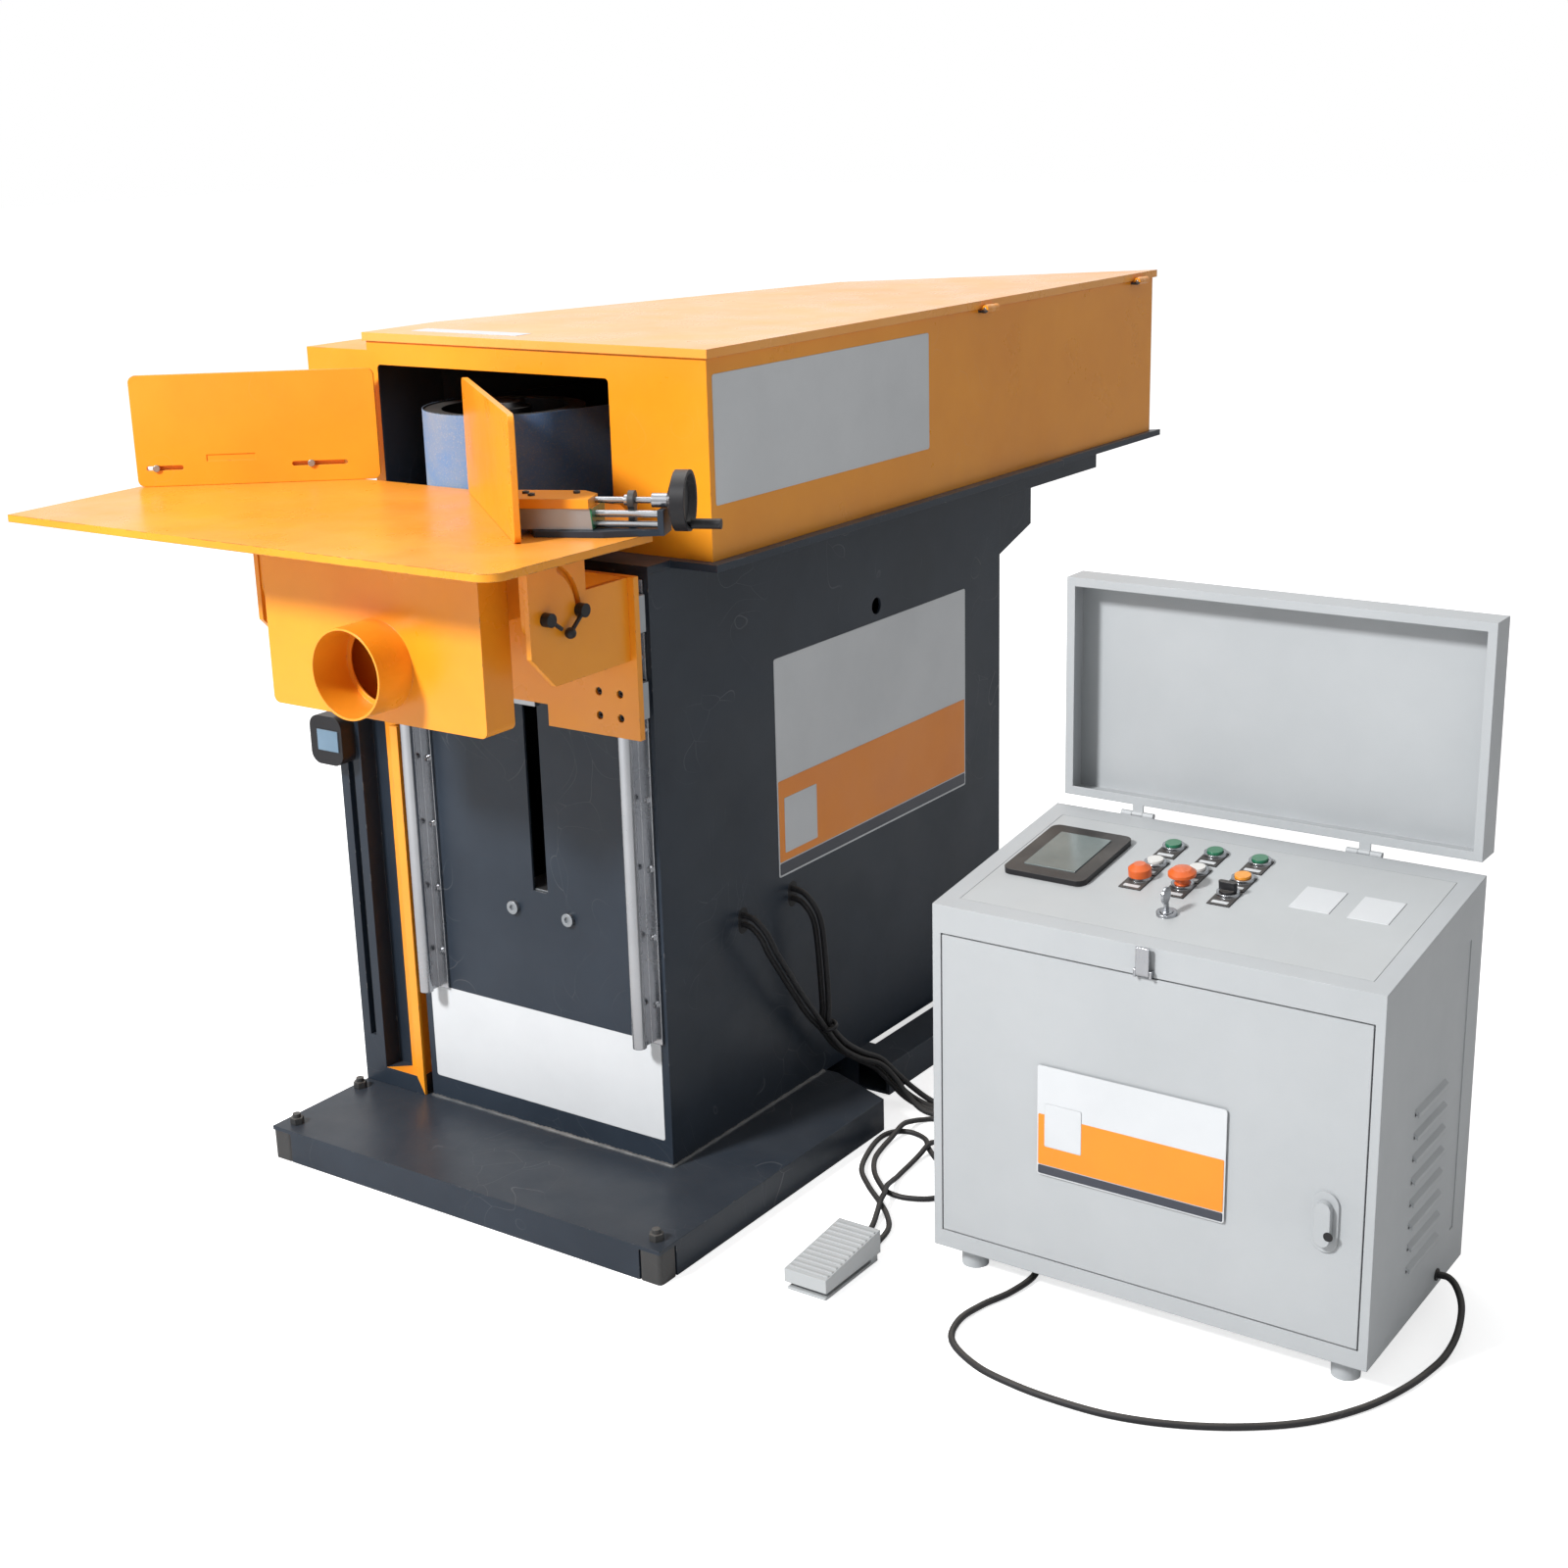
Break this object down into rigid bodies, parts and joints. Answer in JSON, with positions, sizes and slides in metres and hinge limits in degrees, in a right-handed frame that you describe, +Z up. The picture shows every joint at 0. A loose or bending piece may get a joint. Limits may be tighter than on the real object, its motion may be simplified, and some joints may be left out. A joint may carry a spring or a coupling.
{
  "type": "corner grinding machine",
  "caption": "Floor-standing corner grinder: vertical abrasive belt head on a column, lifting and tilting table with two angled fences, control cabinet and foot pedal.",
  "frame": {"origin": "on the floor, under the middle of the column", "axes": "+Z up, +Y from the operator towards the machine's back, +X to the operator's right"},
  "size_m": [1.8607, 1.8009, 1.2004],
  "materials": {
    "orange_paint": "semi-gloss orange machine enamel, worn at the edges",
    "slate_paint": "dark blue-grey machine enamel, scuffed",
    "cabinet_paint": "light grey powder coat",
    "panel_paint": "light grey satin panel",
    "bright_steel": "machined steel",
    "chrome": "ground and plated shaft",
    "aluminium": "machined aluminium",
    "black_iron": "blackened iron",
    "black_plastic": "black moulded plastic",
    "rubber": "black rubber",
    "abrasive": "blue zirconia abrasive cloth",
    "green_plastic": "green button cap",
    "white_plastic": "white button cap",
    "yellow_plastic": "yellow button cap",
    "red_plastic": "red-orange mushroom head",
    "electrics": "control gear"
  },
  "bodies": {
    "machine_frame": {"base_plate": "slate_paint", "base_fittings": "black_iron", "rear_base_frame": "slate_paint", "column_shell": "slate_paint", "limit_post": "slate_paint", "linear_rails": "chrome", "head_plate": "slate_paint", "head_beam": "slate_paint", "belt_housing": "orange_paint", "abrasive_belt": "abrasive", "wheel_supports": "bright_steel", "motors": "aluminium", "v_belt": "rubber", "hinge_pins": "bright_steel", "cable_grommets": "rubber", "cabinet_shell": "cabinet_paint", "control_panel": "panel_paint", "cabinet_electrics": "electrics", "pedal_base": "slate_paint", "machine_cables": "rubber", "loop_cable": "rubber", "pedal_cords": "rubber"},
    "carriage": {"carriage_plate": "orange_paint", "carriage_blocks": "aluminium", "gussets": "orange_paint", "lift_nut": "bright_steel", "dust_hopper": "orange_paint", "carriage_bolts": "black_iron"},
    "lift_spindle": {"lift_screw": "bright_steel"},
    "table": {"table_top": "orange_paint", "table_brackets": "orange_paint", "slide_base": "black_iron"},
    "pivot_clamp": {"pivot_lever": "black_plastic"},
    "slot_clamp": {"slot_lever": "black_plastic"},
    "fence_left": {"left_fence": "orange_paint"},
    "fence_right": {"right_fence": "orange_paint", "slide_carriage": "aluminium"},
    "slide_spindle": {"lead_screw": "chrome", "hand_wheel": "black_plastic"},
    "crank_grip": {"crank_handle": "black_plastic"},
    "belt_drive": {"drive_wheel": "aluminium", "drive_shaft": "bright_steel"},
    "contact_roller": {"contact_wheel": "rubber"},
    "motor_rotor": {"motor_pulley": "bright_steel"},
    "head_lid": {"housing_lid": "orange_paint"},
    "door": {"cabinet_door": "cabinet_paint"},
    "door_lock": {"door_handle": "cabinet_paint"},
    "desk_lid": {"cabinet_lid": "cabinet_paint"},
    "latch": {"toggle_latch": "chrome"},
    "stop_head": {"stop_button": "red_plastic"},
    "selector": {"selector_knob": "black_plastic"},
    "key_barrel": {"key_switch": "chrome"},
    "pedal_cover": {"pedal_top": "aluminium"},
    "green_button_1_cap": {"green_button_1": "green_plastic"},
    "green_button_2_cap": {"green_button_2": "green_plastic"},
    "green_button_3_cap": {"green_button_3": "green_plastic"},
    "ringed_button_cap": {"ringed_button": "white_plastic"},
    "white_button_cap": {"white_button": "white_plastic"},
    "yellow_button_cap": {"yellow_button": "yellow_plastic"}
  },
  "joints": [
    {"name": "table_lift", "type": "slide", "parent": "machine_frame", "child": "carriage", "axis": [0, 0, 1], "range_m": [-0.06, 0.015]},
    {"name": "lift_spin", "type": "hinge", "parent": "machine_frame", "child": "lift_spindle", "pos_m": [0.0115, -0.42, 0.65], "axis": [0, 0, 1], "range_deg": [-4330, 1090]},
    {"name": "table_tilt", "type": "hinge", "parent": "carriage", "child": "table", "pos_m": [0, -0.691, 0.897], "axis": [1, 0, 0], "range_deg": [0, 45]},
    {"name": "pivot_lever_turn", "type": "hinge", "parent": "carriage", "child": "pivot_clamp", "pos_m": [0.248, -0.691, 0.897], "axis": [1, 0, 0], "range_deg": [-60, 0]},
    {"name": "slot_lever_turn", "type": "hinge", "parent": "table", "child": "slot_clamp", "pos_m": [0.248, -0.625, 0.897], "axis": [1, 0, 0], "range_deg": [0, 60]},
    {"name": "left_fence_slide", "type": "slide", "parent": "table", "child": "fence_left", "axis": [0.7837, 0.6211, 0], "range_m": [-0.015, 0.005]},
    {"name": "right_fence_slide", "type": "slide", "parent": "table", "child": "fence_right", "axis": [0.9135, 0.4067, 0], "range_m": [-0.02, 0.02]},
    {"name": "hand_wheel_turn", "type": "hinge", "parent": "table", "child": "slide_spindle", "pos_m": [0.33771, -0.57865, 1.036], "axis": [0.9135, 0.4067, 0], "range_deg": [-1810, 1810]},
    {"name": "crank_grip_spin", "type": "hinge", "parent": "slide_spindle", "child": "crank_grip", "pos_m": [0.38339, -0.55832, 1.007], "axis": [0.9135, 0.4067, 0], "continuous": true},
    {"name": "belt_drive_spin", "type": "hinge", "parent": "machine_frame", "child": "belt_drive", "pos_m": [0.08976, 0.53502, 1], "axis": [0, 0, 1], "continuous": true},
    {"name": "contact_wheel_spin", "type": "hinge", "parent": "machine_frame", "child": "contact_roller", "pos_m": [-0.138, -0.315, 1], "axis": [0, 0, 1], "continuous": true},
    {"name": "motor_spin", "type": "hinge", "parent": "machine_frame", "child": "motor_rotor", "pos_m": [0, 0.3, 0.86], "axis": [0, 0, 1], "continuous": true},
    {"name": "head_lid_hinge", "type": "hinge", "parent": "machine_frame", "child": "head_lid", "pos_m": [0.304, 0.5735, 1.1882], "axis": [0, 1, 0], "range_deg": [0, 100]},
    {"name": "door_hinge", "type": "hinge", "parent": "machine_frame", "child": "door", "pos_m": [0.664, -0.434, 0.27], "axis": [0, 0, -1], "range_deg": [0, 105]},
    {"name": "door_handle_turn", "type": "hinge", "parent": "door", "child": "door_lock", "pos_m": [1.186, -0.438, 0.219], "axis": [0, -1, 0], "range_deg": [0, 90]},
    {"name": "desk_lid_hinge", "type": "hinge", "parent": "machine_frame", "child": "desk_lid", "pos_m": [0.946, -0.0955, 0.562], "axis": [1, 0, 0], "range_deg": [0, 97]},
    {"name": "latch_flip", "type": "hinge", "parent": "machine_frame", "child": "latch", "pos_m": [0.945, -0.443, 0.486], "axis": [1, 0, 0], "range_deg": [0, 120]},
    {"name": "stop_press", "type": "slide", "parent": "machine_frame", "child": "stop_head", "axis": [0, -0.1237, 0.9923], "range_m": [-0.005, 0], "stiffness_N_per_m": 700},
    {"name": "selector_turn", "type": "hinge", "parent": "machine_frame", "child": "selector", "pos_m": [0.978, -0.27327, 0.53953], "axis": [0, -0.1237, 0.9923], "range_deg": [-45, 45]},
    {"name": "key_turn", "type": "hinge", "parent": "machine_frame", "child": "key_barrel", "pos_m": [0.931, -0.35068, 0.52988], "axis": [0, -0.1237, 0.9923], "range_deg": [0, 90]},
    {"name": "pedal_press", "type": "hinge", "parent": "machine_frame", "child": "pedal_cover", "pos_m": [0.542, -0.472, 0.02], "axis": [1, 0, 0], "range_deg": [0, 3.5], "stiffness_Nm_per_rad": 18, "springref_deg": -2.29},
    {"name": "green_button_1_press", "type": "slide", "parent": "machine_frame", "child": "green_button_1_cap", "axis": [0, -0.1237, 0.9923], "range_m": [-0.004, 0], "stiffness_N_per_m": 400},
    {"name": "green_button_2_press", "type": "slide", "parent": "machine_frame", "child": "green_button_2_cap", "axis": [0, -0.1237, 0.9923], "range_m": [-0.004, 0], "stiffness_N_per_m": 400},
    {"name": "green_button_3_press", "type": "slide", "parent": "machine_frame", "child": "green_button_3_cap", "axis": [0, -0.1237, 0.9923], "range_m": [-0.004, 0], "stiffness_N_per_m": 400},
    {"name": "ringed_button_press", "type": "slide", "parent": "machine_frame", "child": "ringed_button_cap", "axis": [0, -0.1237, 0.9923], "range_m": [-0.004, 0], "stiffness_N_per_m": 400},
    {"name": "white_button_press", "type": "slide", "parent": "machine_frame", "child": "white_button_cap", "axis": [0, -0.1237, 0.9923], "range_m": [-0.004, 0], "stiffness_N_per_m": 400},
    {"name": "yellow_button_press", "type": "slide", "parent": "machine_frame", "child": "yellow_button_cap", "axis": [0, -0.1237, 0.9923], "range_m": [-0.004, 0], "stiffness_N_per_m": 400}
  ],
  "couplings": [
    {"joint": "lift_spin", "follows": "table_lift", "rad_per_m": 1256.6},
    {"joint": "hand_wheel_turn", "follows": "right_fence_slide", "rad_per_m": 1570.8},
    {"joint": "contact_wheel_spin", "follows": "belt_drive_spin", "ratio": 1},
    {"joint": "motor_spin", "follows": "belt_drive_spin", "ratio": 1}
  ]
}
